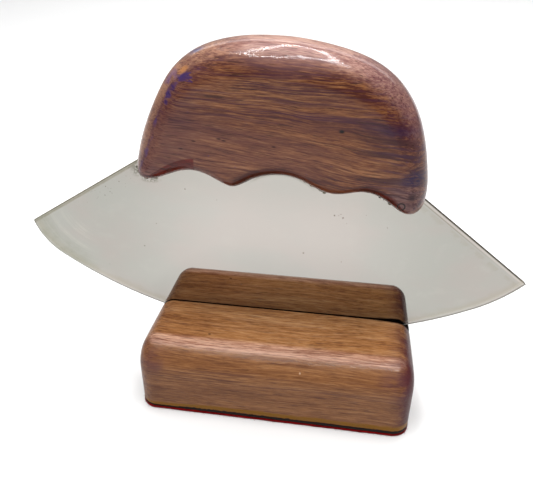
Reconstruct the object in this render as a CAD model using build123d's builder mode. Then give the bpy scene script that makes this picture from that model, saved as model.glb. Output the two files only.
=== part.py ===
from build123d import *
import math
import os

os.makedirs("parts", exist_ok=True)

# A knife with one wide curved blade and a grip block along its back, standing on its
# cutting edge in a slotted wooden rest.  Millimetres, +Z up.  X runs along the slot,
# the front of the rest faces -Y, and the origin is the centre of the rest's underside.

# ---------------------------------------------------------------- driving dimensions
stand_length = 96.3          # along the slot
stand_depth = 63.2           # front to back
stand_top_z = 26.45          # top of the wood above the table
stand_top_radius = 9.8       # long top edges
stand_end_radius = 6.0       # ends, all round
stand_foot_radius = 0.9      # eased bottom edge

felt_thickness = 1.0
felt_inset = 0.15            # felt outline inside the wood outline
felt_corner_radius = 5.8
glue_thickness = 0.2
glue_inset = 0.9             # glue film outline inside the wood outline

slot_floor_z = 16.53
slot_front = 1.22            # front slot wall, from the blade's mid-plane
slot_back = 1.25
slot_flare = [(24.0, 1.22), (34.0, 1.38), (48.15, 2.05)]   # the mouth is worn wider at its right end

blade_thickness = 1.5
edge_thickness = 0.25        # what the grind leaves at the cutting edge
grind_width = 1.0            # width of the ground bevel on each face
blade_tilt = 2.628           # the right-hand tip sits lower
blade_x = -6.57              # knife datum (midway between the tips) in the rest's frame
blade_z = 51.82
arc_centre_u = -0.06         # cutting edge: one circle, blunted towards the tips
arc_centre_w = 112.99
arc_radius = 148.01
arc_right_u = 76.0
arc_left_u = -79.0
tip_right = (90.85, -0.95)
tip_left = (-88.90, 0.55)
spine_right_w0 = 62.93       # height of the straight spines at u = 0 and their slopes
spine_right_slope = -0.7007
spine_left_w0 = 61.34
spine_left_slope = 0.6774
tang_top_w = 50.0            # top of the tang, hidden in the grip

kerf_half = 1.0              # half the width of the slot sawn in the grip
kerf_gap = 0.25              # glue gap above the tang
bead_half = 1.7              # half the width of the squeezed-out glue
bead_start = 0.15            # clear of the wood's surface
bead_drop = 0.6              # how far it shows out of the slot

grip_thickness = 25.4
grip_round = 10.0            # depth of the edge rounding, measured along Y

# Grip outline at mid thickness, in the knife's own plane (u to the right, w up).
grip_outline = [
    (-43.77, 35.26), (-42.37, 40.91), (-39.28, 49.30), (-36.60, 55.09), (-34.20, 59.47),
    (-31.65, 63.01), (-28.51, 66.07), (-24.58, 68.68), (-19.88, 70.67), (-14.74, 72.08),
    (-9.21, 73.02), (-3.13, 73.46), (3.82, 73.51), (11.57, 72.85), (18.16, 71.80),
    (23.88, 70.45), (28.99, 68.69), (33.52, 66.38), (37.50, 63.45), (40.86, 59.92),
    (43.61, 56.05), (45.74, 51.85), (47.67, 46.67), (49.65, 39.29), (50.80, 32.80),
    (50.78, 29.15), (50.13, 26.70), (48.58, 25.08), (46.35, 24.29), (43.80, 24.42),
    (40.86, 25.77), (36.91, 28.15), (33.54, 29.44), (30.41, 29.68), (26.53, 28.81),
    (22.56, 28.01), (19.04, 28.22), (15.25, 29.43), (10.58, 31.51), (6.93, 32.42),
    (3.14, 32.44), (-0.82, 31.61), (-4.77, 29.93), (-8.51, 27.68), (-10.95, 26.85),
    (-13.57, 27.32), (-17.79, 29.20), (-21.77, 30.63), (-25.10, 30.91), (-28.65, 30.23),
    (-33.36, 28.32), (-37.26, 26.97), (-40.14, 26.80), (-42.43, 27.52), (-43.98, 29.13),
    (-44.32, 31.53),
]

# Matching outline of the flat face left by the edge rounding.
grip_face = [
    (-35.41, 34.45), (-32.92, 38.47), (-30.18, 45.68), (-28.33, 50.60), (-26.64, 53.97),
    (-24.82, 56.44), (-22.57, 58.43), (-19.77, 60.14), (-16.41, 61.58), (-12.52, 62.68),
    (-8.04, 63.39), (-2.83, 63.68), (3.37, 63.52), (10.36, 62.96), (16.16, 62.16),
    (20.84, 61.08), (24.72, 59.70), (27.98, 58.01), (30.80, 55.95), (33.24, 53.51),
    (35.23, 50.80), (36.77, 47.67), (38.08, 43.61), (39.69, 37.54), (42.04, 32.74),
    (43.87, 30.39), (44.83, 28.92), (44.81, 28.09), (44.16, 27.96), (43.09, 28.59),
    (41.43, 30.30), (38.02, 32.92), (34.33, 34.34), (30.77, 34.66), (26.58, 33.85),
    (22.79, 33.05), (19.70, 33.23), (16.31, 34.39), (11.53, 36.47), (7.32, 37.41),
    (2.77, 37.40), (-1.88, 36.50), (-6.06, 34.74), (-9.33, 32.47), (-11.24, 31.65),
    (-13.31, 32.16), (-17.05, 34.10), (-21.32, 35.58), (-25.20, 35.88), (-29.26, 35.17),
    (-33.83, 33.07), (-36.41, 31.23), (-37.73, 30.39), (-38.48, 30.31), (-38.56, 30.99),
    (-37.48, 32.31),
]

# ---------------------------------------------------------------- the knife's own plane
tilt = math.radians(blade_tilt)
knife_plane = Plane(
    origin=(blade_x, 0, blade_z),
    x_dir=(math.cos(tilt), 0, -math.sin(tilt)),
    z_dir=(0, -1, 0),
)


def arc_w(u):
    return arc_centre_w - math.sqrt(arc_radius**2 - (u - arc_centre_u) ** 2)


def arc_tangent(u):
    w = arc_w(u)
    return (arc_centre_w - w, u - arc_centre_u)


def spine_left(w):
    return (w - spine_left_w0) / spine_left_slope


def spine_right(w):
    return (w - spine_right_w0) / spine_right_slope


def below_spines(gap):
    # everything under the two straight spines and the top of the tang
    return [
        (-60, 15),
        (-60, spine_left_w0 + spine_left_slope * -60 + gap),
        (spine_left(tang_top_w), tang_top_w + gap),
        (spine_right(tang_top_w), tang_top_w + gap),
        (60, spine_right_w0 + spine_right_slope * 60 + gap),
        (60, 15),
    ]


# ---------------------------------------------------------------- blade
edge_left = (arc_left_u, arc_w(arc_left_u))
edge_right = (arc_right_u, arc_w(arc_right_u))
edge_middle = (arc_centre_u, arc_centre_w - arc_radius)
tip_left_top = (spine_left(1.25), 1.25)
tip_right_top = (spine_right(-0.35), -0.35)
tang_left = (spine_left(tang_top_w), tang_top_w)
tang_right = (spine_right(tang_top_w), tang_top_w)

with BuildPart() as blade:
    with BuildSketch(knife_plane):
        with BuildLine():
            ThreePointArc(edge_left, edge_middle, edge_right)
            TangentArc(edge_right, tip_right, tangent=arc_tangent(arc_right_u))
            Line(tip_right, tip_right_top)
            Line(tip_right_top, tang_right)
            Line(tang_right, tang_left)
            Line(tang_left, tip_left_top)
            Line(tip_left_top, tip_left)
            t_left = arc_tangent(arc_left_u)
            TangentArc(edge_left, tip_left, tangent=(-t_left[0], -t_left[1]))
        make_face()
    extrude(amount=blade_thickness / 2, both=True)
    for side in (-1, 1):
        face = blade.faces().sort_by(Axis.Y)[0 if side < 0 else -1]
        rim = face.edges().filter_by(GeomType.CIRCLE)
        chamfer(
            rim,
            length=grind_width,
            length2=(blade_thickness - edge_thickness) / 2,
            reference=face,
        )

# ---------------------------------------------------------------- grip
steps = [90, 80, 68, 54, 38, 20, 0]
rounding = [(-1, a) for a in steps] + [(1, a) for a in reversed(steps)]
flat_half = grip_thickness / 2 - grip_round

with BuildPart() as grip:
    for side, angle in rounding:
        depth = side * (flat_half + grip_round * math.sin(math.radians(angle)))
        share = 1 - math.cos(math.radians(angle))
        ring = [
            (p[0] + (q[0] - p[0]) * share, p[1] + (q[1] - p[1]) * share)
            for p, q in zip(grip_outline, grip_face)
        ]
        with BuildSketch(knife_plane.offset(depth)):
            with BuildLine():
                Spline(*ring, periodic=True)
            make_face()
    loft()
    # slot for the tang, open at the bottom and under both shoulders
    with BuildSketch(knife_plane):
        with BuildLine():
            Polyline(*below_spines(kerf_gap), close=True)
        make_face()
    extrude(amount=kerf_half, both=True, mode=Mode.SUBTRACT)

# ---------------------------------------------------------------- glue holding the tang
def grown(amount):
    ring = []
    for p, q in zip(grip_outline, grip_face):
        d = math.dist(p, q)
        ring.append((p[0] + (p[0] - q[0]) / d * amount, p[1] + (p[1] - q[1]) / d * amount))
    return ring


with BuildPart() as grip_glue:
    # film that fills the slot around the tang and shows a little below it
    with BuildSketch(knife_plane):
        with BuildLine():
            Spline(*grown(bead_drop), periodic=True)
        make_face()
        with BuildLine():
            Polyline(*below_spines(kerf_gap), close=True)
        make_face(mode=Mode.INTERSECT)
    extrude(amount=kerf_half, both=True)
    # bead squeezed out along the mouth of the slot
    with BuildSketch(knife_plane):
        with BuildLine():
            Spline(*grown(bead_drop), periodic=True)
        make_face()
        with BuildLine():
            Spline(*grown(bead_start), periodic=True)
        make_face(mode=Mode.SUBTRACT)
        with BuildLine():
            Polyline(*below_spines(0), close=True)
        make_face(mode=Mode.INTERSECT)
    extrude(amount=bead_half, both=True)
    # room for the tang
    with BuildSketch(knife_plane):
        with BuildLine():
            Polyline(*below_spines(0), close=True)
        make_face()
    extrude(amount=blade_thickness / 2, both=True, mode=Mode.SUBTRACT)

# ---------------------------------------------------------------- slotted wooden rest
wood_bottom = felt_thickness + glue_thickness
wood_height = stand_top_z - wood_bottom
with BuildPart() as stand_block:
    with BuildSketch(Plane.XY.offset(wood_bottom)):
        Rectangle(stand_length, stand_depth)
    extrude(amount=wood_height)
    fillet(
        stand_block.faces().sort_by(Axis.Z)[-1].edges().filter_by(Axis.X),
        radius=stand_top_radius,
    )
    ends = stand_block.faces().filter_by(Axis.X)
    rim = [
        e for f in ends for e in f.edges() if e.center().Z > wood_bottom + 0.01
    ]
    fillet(rim, radius=stand_end_radius)
    fillet(
        stand_block.faces().sort_by(Axis.Z)[0].edges(),
        radius=stand_foot_radius,
    )
    with BuildSketch(Plane.XY.offset(slot_floor_z)):
        with BuildLine():
            Polyline(
                (-stand_length, -slot_front),
                *[(x, -y) for x, y in slot_flare],
                (stand_length, -slot_flare[-1][1]),
                (stand_length, slot_back),
                (-stand_length, slot_back),
                close=True,
            )
        make_face()
    extrude(amount=stand_top_z, mode=Mode.SUBTRACT)

# ---------------------------------------------------------------- felt pad and its glue
with BuildPart() as felt_glue:
    with BuildSketch(Plane.XY.offset(felt_thickness)):
        RectangleRounded(
            stand_length - 2 * glue_inset,
            stand_depth - 2 * glue_inset,
            felt_corner_radius - glue_inset + felt_inset,
        )
    extrude(amount=glue_thickness)

with BuildPart() as felt_pad:
    with BuildSketch(Plane.XY):
        RectangleRounded(
            stand_length - 2 * felt_inset,
            stand_depth - 2 * felt_inset,
            felt_corner_radius,
        )
    extrude(amount=felt_thickness)

# ---------------------------------------------------------------- export, one file each
blade.part.label = "blade"
export_step(blade.part, "parts/blade.step")
grip.part.label = "grip"
export_step(grip.part, "parts/grip.step")
grip_glue.part.label = "grip_glue"
export_step(grip_glue.part, "parts/grip_glue.step")
stand_block.part.label = "stand_block"
export_step(stand_block.part, "parts/stand_block.step")
felt_glue.part.label = "felt_glue"
export_step(felt_glue.part, "parts/felt_glue.step")
felt_pad.part.label = "felt_pad"
export_step(felt_pad.part, "parts/felt_pad.step")
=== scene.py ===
import math
import random

import bpy
import bmesh
import numpy as np
from mathutils import Matrix, Vector


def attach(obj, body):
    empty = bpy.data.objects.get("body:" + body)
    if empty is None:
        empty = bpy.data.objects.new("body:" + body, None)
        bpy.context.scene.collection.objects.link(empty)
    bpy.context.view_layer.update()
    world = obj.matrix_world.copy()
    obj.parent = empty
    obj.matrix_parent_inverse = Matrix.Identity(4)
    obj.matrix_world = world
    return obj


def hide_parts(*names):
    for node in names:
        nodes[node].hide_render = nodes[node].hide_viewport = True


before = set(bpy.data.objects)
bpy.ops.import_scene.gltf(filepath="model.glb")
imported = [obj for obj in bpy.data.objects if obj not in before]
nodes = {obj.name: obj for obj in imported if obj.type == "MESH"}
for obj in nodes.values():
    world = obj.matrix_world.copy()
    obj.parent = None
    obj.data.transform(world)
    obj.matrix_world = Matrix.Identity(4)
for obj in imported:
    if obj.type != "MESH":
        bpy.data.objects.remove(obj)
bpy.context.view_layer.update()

# ------------------------------------------------------------------ the knife's own plane
TILT = math.radians(2.628)
KNIFE = Vector((-0.00657, 0.0, 0.05182))
CT, ST = math.cos(TILT), math.sin(TILT)


def at(u, w, y=0.0):
    """A point of the knife, u right and w up from midway between its tips, in mm."""
    u, w, y = u / 1000, w / 1000, y / 1000
    return Vector((KNIFE.x + u * CT + w * ST, y, KNIFE.z - u * ST + w * CT))


def lin(r, g, b):
    """0-255 display colour to linear."""
    out = []
    for c in (r, g, b):
        c /= 255.0
        out.append(c / 12.92 if c <= 0.04045 else ((c + 0.055) / 1.055) ** 2.4)
    return (out[0], out[1], out[2], 1.0)


# ------------------------------------------------------------------ node helpers
class Graph:
    def __init__(self, name):
        self.mat = bpy.data.materials.new(name)
        self.mat.use_nodes = True
        self.nt = self.mat.node_tree
        self.nt.nodes.clear()
        self.out = self.nt.nodes.new("ShaderNodeOutputMaterial")
        self.bsdf = self.nt.nodes.new("ShaderNodeBsdfPrincipled")
        self.nt.links.new(self.bsdf.outputs[0], self.out.inputs[0])

    def node(self, kind, **props):
        n = self.nt.nodes.new(kind)
        for k, v in props.items():
            setattr(n, k, v)
        return n

    def put(self, sock, value):
        if isinstance(value, bpy.types.NodeSocket):
            self.nt.links.new(value, sock)
        else:
            sock.default_value = value

    def math(self, op, a, b=0.0, c=None, clamp=False):
        n = self.node("ShaderNodeMath", operation=op, use_clamp=clamp)
        self.put(n.inputs[0], a)
        self.put(n.inputs[1], b)
        if c is not None:
            self.put(n.inputs[2], c)
        return n.outputs[0]

    def add(self, *v):
        r = v[0]
        for x in v[1:]:
            r = self.math("ADD", r, x)
        return r

    def mul(self, *v):
        r = v[0]
        for x in v[1:]:
            r = self.math("MULTIPLY", r, x)
        return r

    def step(self, value, lo, hi, a=0.0, b=1.0, smooth=True):
        n = self.node(
            "ShaderNodeMapRange", interpolation_type="SMOOTHSTEP" if smooth else "LINEAR"
        )
        self.put(n.inputs["Value"], value)
        n.inputs["From Min"].default_value = lo
        n.inputs["From Max"].default_value = hi
        n.inputs["To Min"].default_value = a
        n.inputs["To Max"].default_value = b
        return n.outputs[0]

    def mix(self, fac, a, b, blend="MIX"):
        n = self.node("ShaderNodeMix", data_type="RGBA", blend_type=blend)
        self.put(n.inputs[0], fac)
        self.put(n.inputs[6], a)
        self.put(n.inputs[7], b)
        return n.outputs[2]

    def ramp(self, fac, stops):
        n = self.node("ShaderNodeValToRGB")
        e = n.color_ramp.elements
        while len(e) < len(stops):
            e.new(0.5)
        for k, (p, c) in zip(e, stops):
            k.position = p
            k.color = c
        self.put(n.inputs[0], fac)
        return n.outputs[0]

    def combine(self, x, y, z):
        n = self.node("ShaderNodeCombineXYZ")
        for s, v in zip(n.inputs, (x, y, z)):
            self.put(s, v)
        return n.outputs[0]

    def split(self, v):
        n = self.node("ShaderNodeSeparateXYZ")
        self.put(n.inputs[0], v)
        return n.outputs[0], n.outputs[1], n.outputs[2]

    def noise(self, vec, scale=1.0, detail=2.0, rough=0.5, distortion=0.0):
        n = self.node("ShaderNodeTexNoise")
        self.put(n.inputs["Vector"], vec)
        n.inputs["Scale"].default_value = scale
        n.inputs["Detail"].default_value = detail
        n.inputs["Roughness"].default_value = rough
        n.inputs["Distortion"].default_value = distortion
        return n.outputs[0]

    def voronoi(self, vec, scale=1.0, feature="F1", randomness=1.0):
        n = self.node("ShaderNodeTexVoronoi", feature=feature)
        self.put(n.inputs["Vector"], vec)
        n.inputs["Scale"].default_value = scale
        n.inputs["Randomness"].default_value = randomness
        return n.outputs[0]

    def scaled(self, xyz, sx, sy, sz, off=(0.0, 0.0, 0.0)):
        x, y, z = xyz
        return self.combine(
            self.math("MULTIPLY_ADD", x, sx, off[0]),
            self.math("MULTIPLY_ADD", y, sy, off[1]),
            self.math("MULTIPLY_ADD", z, sz, off[2]),
        )

    def coords(self, knife=False):
        """Position in millimetres: of the rest, or in the knife's own plane (u, y, w)."""
        tc = self.node("ShaderNodeTexCoord")
        m = self.node("ShaderNodeMapping", vector_type="TEXTURE")
        self.put(m.inputs[0], tc.outputs["Object"])
        if knife:
            m.inputs["Location"].default_value = KNIFE
            m.inputs["Rotation"].default_value = (0.0, TILT, 0.0)
        m.inputs["Scale"].default_value = (0.001, 0.001, 0.001)
        return self.split(m.outputs[0])

    def bump(self, height, strength, distance_mm, normal=None):
        n = self.node("ShaderNodeBump")
        n.inputs["Strength"].default_value = strength
        n.inputs["Distance"].default_value = distance_mm / 1000
        self.put(n.inputs["Height"], height)
        if normal is not None:
            self.put(n.inputs["Normal"], normal)
        return n.outputs[0]

    def near(self, x, y, cx, cy, r0, r1, sx=1.0, sy=1.0):
        """1 inside r0 of a point, 0 outside r1."""
        dx = self.mul(self.math("SUBTRACT", x, cx), sx)
        dy = self.mul(self.math("SUBTRACT", y, cy), sy)
        d = self.math("SQRT", self.add(self.mul(dx, dx), self.mul(dy, dy)))
        return self.step(d, r0, r1, 1.0, 0.0)


def show(node, graph):
    me = nodes[node].data
    me.materials.clear()
    me.materials.append(graph.mat)


# ------------------------------------------------------------------ grip: dyed, lacquered wood
def grip_material():
    g = Graph("grip_wood")
    u, y, w = g.coords(knife=True)
    # the grain falls a little to the right, more so low down, and wanders
    low = g.step(w, 62.0, 40.0)
    wander = g.noise(g.scaled((u, y, w), 0.020, 0.03, 0.040, (3.1, 0.4, 1.7)), 1.0, 2.0)
    ripple = g.noise(g.scaled((u, y, w), 0.085, 0.05, 0.10, (0.1, 5.4, 2.7)), 1.0, 2.0)
    lean = g.add(
        w,
        g.mul(u, g.math("MULTIPLY_ADD", low, 0.070, 0.012)),
        g.mul(g.math("SUBTRACT", wander, 0.5), 7.0),
        g.mul(g.math("SUBTRACT", ripple, 0.5), 0.45),
    )
    p = (u, y, lean)
    broad = g.noise(g.scaled(p, 0.010, 0.05, 0.16, (7.0, 2.0, 0.0)), 1.0, 3.0, 0.55)
    streak = g.noise(g.scaled(p, 0.024, 0.25, 0.55, (1.0, 5.0, 3.0)), 1.0, 4.0, 0.62)
    fine = g.noise(g.scaled(p, 0.090, 1.1, 1.65, (4.0, 1.0, 8.0)), 1.0, 3.0, 0.66)
    fibre = g.noise(g.scaled(p, 0.23, 2.2, 3.0, (9.0, 3.0, 2.0)), 1.0, 3.0, 0.7)
    tone = g.add(
        g.mul(broad, 0.17), g.mul(streak, 0.25), g.mul(fine, 0.38), g.mul(fibre, 0.40),
        -0.10,
    )
    wood = g.ramp(
        tone,
        [
            (0.37, lin(56, 20, 18)),
            (0.44, lin(90, 46, 29)),
            (0.50, lin(120, 71, 43)),
            (0.56, lin(140, 91, 58)),
            (0.63, lin(160, 112, 76)),
        ],
    )
    # golden brown right of the middle and at the low lobes, pinker low on the left
    warm = g.near(u, w, 22.0, 57.0, 4.0, 34.0, 0.7, 1.4)
    wood = g.mix(g.mul(warm, 0.42), wood, g.mix(g.step(tone, 0.42, 0.60), lin(74, 30, 14), lin(140, 84, 34)))
    lobe = g.math(
        "MAXIMUM", g.near(u, w, -10.0, 29.0, 1.0, 7.0, 1.0, 0.9), g.near(u, w, 19.0, 30.5, 2.0, 10.0, 0.8, 1.3)
    )
    wood = g.mix(g.mul(lobe, 0.60), wood, g.mix(g.step(tone, 0.42, 0.60), lin(76, 32, 12), lin(124, 74, 32)))
    pink = g.mul(g.step(w, 56.0, 42.0), g.step(u, 34.0, 8.0))
    wood = g.mix(g.mul(pink, 0.22), wood, lin(122, 82, 76))
    tanned = g.near(u, w, 6.0, 61.5, 3.0, 24.0, 0.75, 3.0)
    wood = g.mix(g.mul(tanned, 0.34), wood, g.mix(g.step(tone, 0.42, 0.58), lin(104, 60, 44), lin(168, 120, 80)))
    wood = g.mix(g.step(u, -10.0, -30.0, 0.0, 0.32), wood, lin(98, 60, 60))
    # violet cast in bands along the grain
    cast = g.noise(g.scaled(p, 0.022, 0.06, 0.32, (2.0, 9.0, 5.0)), 1.0, 3.0)
    wood = g.mix(g.step(cast, 0.52, 0.66, 0.0, 0.26), wood, lin(88, 46, 48))
    # thin dark lines: long ones high up, short pores low down
    line = g.noise(g.scaled(p, 0.030, 0.8, 1.7, (6.0, 2.0, 1.0)), 1.0, 3.0, 0.6)
    lines = g.step(line, 0.54, 0.60)
    wood = g.mix(g.mul(lines, g.step(w, 42.0, 54.0, 0.30, 0.74)), wood, lin(66, 24, 38))
    thread = g.noise(g.scaled(p, 0.055, 0.9, 1.5, (2.0, 7.0, 5.0)), 1.0, 3.0, 0.6)
    wood = g.mix(g.mul(g.step(thread, 0.55, 0.62), 0.50), wood, lin(66, 26, 26))
    dash = g.noise(g.scaled(p, 0.15, 2.0, 2.6, (3.0, 7.0, 1.0)), 1.0, 1.5)
    dashes = g.step(dash, 0.62, 0.70)
    # dark red-brown and violet streaks, thick towards the right-hand end
    right = g.step(u, 20.0, 40.0)
    dye = g.noise(g.scaled(p, 0.024, 0.12, 0.60, (5.0, 4.0, 6.0)), 1.0, 4.0, 0.60)
    dye_mask = g.mul(g.step(dye, 0.49, 0.58), right, g.step(w, 62.0, 56.0))
    wood = g.mix(g.mul(dye_mask, 0.92), wood, lin(54, 18, 26))
    end = g.mul(g.step(u, 28.0, 46.0), g.step(w, 60.0, 54.0), g.step(w, 33.0, 40.0))
    wood = g.mix(g.mul(end, 0.40), wood, lin(70, 30, 34))
    violet = g.noise(g.scaled(p, 0.040, 0.15, 0.85, (8.0, 1.0, 2.0)), 1.0, 4.0, 0.6)
    violet_mask = g.mul(g.step(violet, 0.51, 0.60), g.step(u, 24.0, 42.0), g.step(w, 62.0, 55.0))
    wood = g.mix(g.mul(violet_mask, 0.68), wood, lin(56, 24, 50))
    thin = g.noise(g.scaled(p, 0.030, 0.30, 1.30, (1.0, 6.0, 3.0)), 1.0, 4.0, 0.6)
    upper = g.mul(g.step(thin, 0.53, 0.60), g.step(w, 49.0, 56.0), g.step(w, 72.0, 66.0))
    wood = g.mix(g.mul(upper, 0.50), wood, lin(66, 32, 54))
    bar = g.mul(
        g.near(u, lean, 38.0, 53.6, 0.3, 1.9, 0.11, 1.0),
        g.step(fine, 0.36, 0.52, 0.3, 1.0),
    )
    wood = g.mix(g.mul(bar, 0.85), wood, lin(50, 22, 52))
    # tan strip round the left shoulder, and a painted sheen along the top
    side = g.add(
        g.math("ABSOLUTE", y),
        g.mul(g.math("SUBTRACT", g.noise(g.scaled(p, 0.30, 0.4, 0.30), 1.0, 3.0), 0.5), 1.8),
    )
    leftward = g.step(u, -14.0, -22.0)
    eu, ew = g.mul(g.math("SUBTRACT", u, 3.0), 1 / 47), g.mul(g.math("SUBTRACT", w, 32.0), 1 / 41)
    er = g.math("SQRT", g.add(g.mul(eu, eu), g.mul(ew, ew)))
    topward = g.mul(g.step(g.math("DIVIDE", ew, er), 0.45, 0.92), g.step(u, -26.0, -4.0))
    tan = g.mix(g.step(tone, 0.40, 0.60), lin(104, 64, 54), lin(166, 122, 94))
    wood = g.mix(g.mul(g.step(side, 10.9, 10.2), leftward, g.step(w, 26.0, 34.0), 0.80), wood, tan)
    top_sheen = g.mix(g.step(tone, 0.38, 0.60), lin(132, 84, 74), lin(202, 160, 142))
    wood = g.mix(g.mul(g.step(side, 12.1, 8.2), topward, 0.85), wood, top_sheen)
    # painted sheen: lighter mauve on the right shoulder's rounding
    right_shoulder_sheen = g.mul(g.step(side, 12.2, 9.0), g.step(u, 14.0, 30.0), g.step(w, 40.0, 56.0))
    wood = g.mix(g.mul(right_shoulder_sheen, 0.50), wood, g.mix(g.step(tone, 0.40, 0.60), lin(112, 70, 74), lin(156, 116, 108)))
    # painted pinkish sheen high on the front rounding, inside the reflected loop of lights
    loop_sheen = g.mul(g.near(u, w, 4.0, 69.6, 3.0, 21.0, 0.9, 3.4), g.step(y, 0.0, -1.0))
    wood = g.mix(g.mul(loop_sheen, 0.28), wood, lin(148, 112, 114))
    # painted shade darkening the right shoulder's top rounding
    shade = g.mul(g.step(u, 22.0, 38.0), g.step(side, 13.0, 7.0), topward)
    wood = g.mix(g.mul(shade, 0.70), wood, g.mix(g.step(tone, 0.40, 0.60), lin(74, 38, 48), lin(108, 72, 68)))
    # indigo line where the dye gathered along the left shoulder
    wide = g.noise(g.scaled(p, 0.35, 0.2, 0.35, (4.0, 1.0, 9.0)), 1.0, 2.0)
    gap = g.math("ABSOLUTE", g.math("SUBTRACT", side, g.math("MULTIPLY_ADD", wide, 0.8, 10.55)))
    line = g.step(gap, 0.62, 0.18)
    patchy = g.step(
        g.noise(g.scaled(p, 0.22, 0.3, 0.30, (6.0, 6.0, 1.0)), 1.0, 3.0, 0.6), 0.42, 0.56, 0.10, 1.0
    )
    leftline = g.mul(g.step(u, -20.0, -26.0), g.step(w, 26.0, 32.0))
    indigo = g.mix(g.step(wide, 0.40, 0.60), lin(74, 42, 58), lin(66, 50, 112))
    wood = g.mix(g.mul(line, leftline, patchy, 0.70), wood, indigo)
    haze = g.mul(g.step(gap, 3.2, 0.4), leftline, g.step(fine, 0.35, 0.60, 0.05, 0.40))
    wood = g.mix(haze, wood, lin(76, 42, 54))
    smudge = g.mul(g.near(u, w, -30.5, 61.0, 0.8, 4.2, 0.9, 0.75), g.step(side, 11.0, 9.6), g.step(side, 5.5, 8.5), g.step(wide, 0.42, 0.56))
    wood = g.mix(g.mul(smudge, 0.55), wood, lin(92, 66, 118))
    sliver = g.mul(g.near(u, w, -23.9, 68.9, 0.8, 3.6), g.step(side, 6.6, 5.2), g.step(side, 1.6, 3.4), g.step(y, 0.0, -0.5))
    wood = g.mix(g.mul(sliver, g.step(wide, 0.30, 0.50, 0.5, 0.85)), wood, lin(78, 74, 108))
    rag = g.noise(g.scaled(p, 0.42, 0.6, 1.5, (2.0, 2.0, 2.0)), 1.0, 4.0, 0.65)
    blot = g.near(u, w, -25.6, 62.3, 0.2, 3.4, 0.80, 1.25)
    blot = g.step(g.add(blot, g.mul(g.math("SUBTRACT", rag, 0.5), 2.6)), 0.42, 0.72)
    wood = g.mix(g.mul(blot, g.step(y, -8.0, -9.0), 0.80), wood, lin(56, 36, 92))
    dot = g.near(u, w, -29.4, 58.8, 0.3, 1.3)
    dot = g.math("MAXIMUM", dot, g.near(u, w, -30.9, 56.5, 0.3, 1.4))
    dot = g.math("MAXIMUM", dot, g.near(u, w, -31.6, 54.2, 0.2, 1.1))
    wood = g.mix(g.mul(dot, g.step(rag, 0.36, 0.52, 0.3, 0.9), g.step(y, -8.0, -9.0)), wood, lin(50, 28, 84))
    oa = g.add(g.mul(u, 0.8), g.mul(w, 0.6), -17.0)
    ob = g.add(g.mul(u, -0.6), g.mul(w, 0.8), -67.0)
    ochre = g.near(oa, ob, 0.0, 0.0, 0.35, 1.0, 0.36, 0.95)
    wood = g.mix(g.mul(ochre, g.step(rag, 0.36, 0.50, 0.45, 0.9), g.step(y, -5.0, -6.5)), wood, lin(172, 116, 70))
    # painted grey sheen on the end lobes, where they curve under
    lobe_sheen = g.math("MAXIMUM", g.mul(g.near(u, w, 43.5, 31.5, 2.0, 9.0), 0.72), g.mul(g.near(u, w, -41.0, 31.0, 2.0, 8.0), 0.55))
    wood = g.mix(lobe_sheen, wood, g.mix(g.step(tone, 0.42, 0.58), lin(76, 46, 50), lin(122, 90, 86)))
    # indigo patch and dark spots by the right-hand lobe
    patch = g.near(u, w, 45.2, 37.8, 0.6, 4.6, 0.8, 1.15)
    wood = g.mix(g.mul(patch, g.step(rag, 0.38, 0.55, 0.35, 1.0)), wood, lin(34, 18, 58))
    spot = g.near(u, w, 45.4, 32.0, 0.4, 2.0)
    wood = g.mix(g.mul(spot, 0.75), wood, lin(36, 16, 28))
    # small knot with grain pulled round it, and open pores
    knot = g.near(u, w, 21.8, 50.8, 0.25, 0.85, 0.70, 1.1)
    halo = g.near(u, w, 25.5, 50.6, 0.4, 4.2, 0.45, 2.6)
    wood = g.mix(g.mul(halo, 0.40), wood, lin(66, 22, 26))
    pores = None
    for pu, pw in ((-22.9, 43.3), (-15.0, 44.8), (-13.4, 44.4), (-27.0, 40.4), (2.0, 44.0)):
        one = g.near(u, w, pu, pw, 0.10, 0.62, 0.55, 1.7)
        pores = one if pores is None else g.math("MAXIMUM", pores, one)
    dark = g.math("MAXIMUM", g.mul(dashes, 0.62), pores)
    wood = g.mix(dark, wood, lin(42, 16, 16))
    wood = g.mix(knot, wood, lin(14, 3, 2))
    # painted shade on the down-facing undersides of the finger grooves
    nrm = g.node("ShaderNodeNewGeometry").outputs["Normal"]
    nz = g.split(nrm)[2]
    groove_underside_shade = g.step(g.add(nz, g.mul(g.math("SUBTRACT", fine, 0.5), 0.10)), 0.0, -0.24)
    part = g.math(
        "MAXIMUM",
        g.math("MAXIMUM", g.mul(g.step(u, -42.0, -37.0), g.step(u, -23.4, -24.0)), g.mul(g.step(u, -9.5, -8.0), g.step(u, 14.0, 4.0, 0.5, 1.0))),
        g.step(u, 27.0, 31.0, 0.5, 1.0),
    )
    part = g.mul(part, g.step(w, 44.0, 38.0), g.step(g.math("ABSOLUTE", u), 46.0, 43.0))
    wood = g.mix(g.mul(groove_underside_shade, part, 0.95), wood, g.mix(g.step(tone, 0.42, 0.60), lin(46, 6, 3), lin(84, 18, 11)))
    # painted shade: a dark band in the left groove, and the shaded flank of the groove beside it
    brow = g.add(g.mul(u, u, -0.02848), g.mul(u, -1.2002), 25.11)
    band = g.mul(g.step(g.math("SUBTRACT", brow, w), -0.15, 0.35), g.step(u, -36.5, -33.5), g.step(u, -22.7, -23.3))
    wood = g.mix(g.mul(band, 0.95), wood, g.mix(g.step(tone, 0.40, 0.60), lin(50, 3, 1), lin(98, 22, 14)))
    fu, fw = g.math("SUBTRACT", u, 3.89), g.math("SUBTRACT", w, 13.56)
    flank = g.math("SUBTRACT", g.math("SQRT", g.add(g.mul(fu, fu), g.mul(fw, fw))), 17.0)
    flank = g.mul(g.step(g.add(flank, g.mul(g.math("SUBTRACT", fine, 0.5), 2.0)), 8.2, 4.4), g.step(u, -12.0, -9.5), g.step(u, 12.0, -2.0))
    wood = g.mix(g.mul(flank, 0.72), wood, lin(52, 15, 6))
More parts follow.
